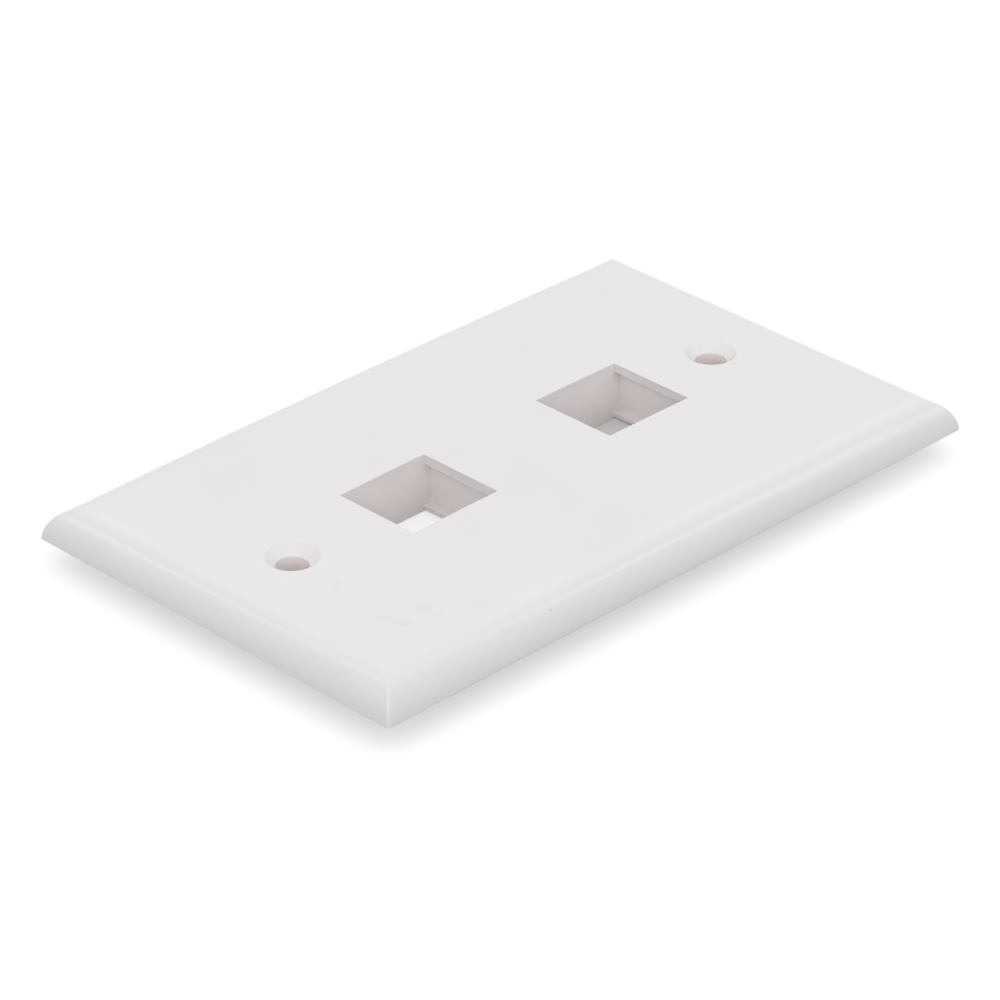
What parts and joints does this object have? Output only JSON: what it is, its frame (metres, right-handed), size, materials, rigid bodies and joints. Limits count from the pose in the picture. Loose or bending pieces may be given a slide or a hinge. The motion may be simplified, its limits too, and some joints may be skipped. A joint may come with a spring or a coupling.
{
  "type": "keystone faceplate",
  "caption": "One-gang wall plate moulded in one piece, with rounded edges, keystone ports that hold snap-in jacks from behind, and countersunk screw holes.",
  "frame": {"origin": "under the middle of the outline, on the plane where the two port frames end", "axes": "+X along the plate's length, towards the end the port pair is nearer to; +Y across it; +Z out of the front face"},
  "size_m": [0.1142, 0.0698, 0.0092],
  "materials": {
    "white_abs": "satin gloss moulded ABS, white"
  },
  "bodies": {
    "root": {"faceplate": "white_abs"}
  },
  "joints": []
}
